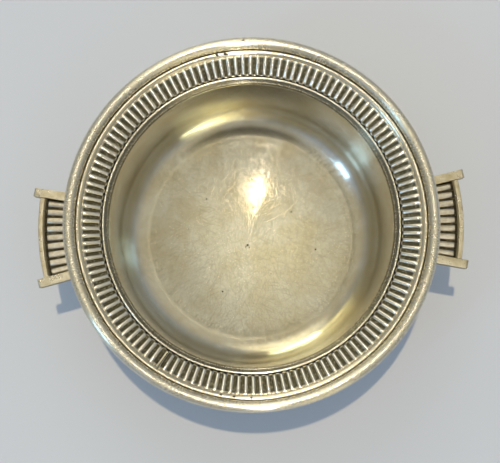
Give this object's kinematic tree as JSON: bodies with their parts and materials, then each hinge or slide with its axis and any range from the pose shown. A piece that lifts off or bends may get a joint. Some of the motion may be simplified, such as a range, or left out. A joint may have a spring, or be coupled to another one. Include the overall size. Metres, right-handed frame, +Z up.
{
  "type": "shaving bowl",
  "caption": "Round silver-plated shaving bowl with a ribbed, beaded border, a deep spun well and a flat ribbed lug handle on each side.",
  "frame": {"origin": "on the surface it stands on, under the bowl's axis", "axes": "+Z up, +X through the middle of the right handle, +Y to the far side"},
  "size_m": [0.1764, 0.1504, 0.057],
  "materials": {
    "silver_plate": "satin",
    "worn_plate": "satin",
    "tarnished_plate": "satin"
  },
  "bodies": {
    "root": {"bowl_body": "silver_plate", "outer_bead": "silver_plate", "inner_lip": "silver_plate", "fluted_border": "tarnished_plate", "foot_ring": "worn_plate", "left_handle_far_bar": "worn_plate", "left_handle_near_bar": "worn_plate", "left_handle_arc_bar": "worn_plate", "left_handle_rib_panel": "tarnished_plate", "right_handle_far_bar": "worn_plate", "right_handle_near_bar": "worn_plate", "right_handle_arc_bar": "worn_plate", "right_handle_rib_panel": "tarnished_plate"}
  },
  "joints": []
}
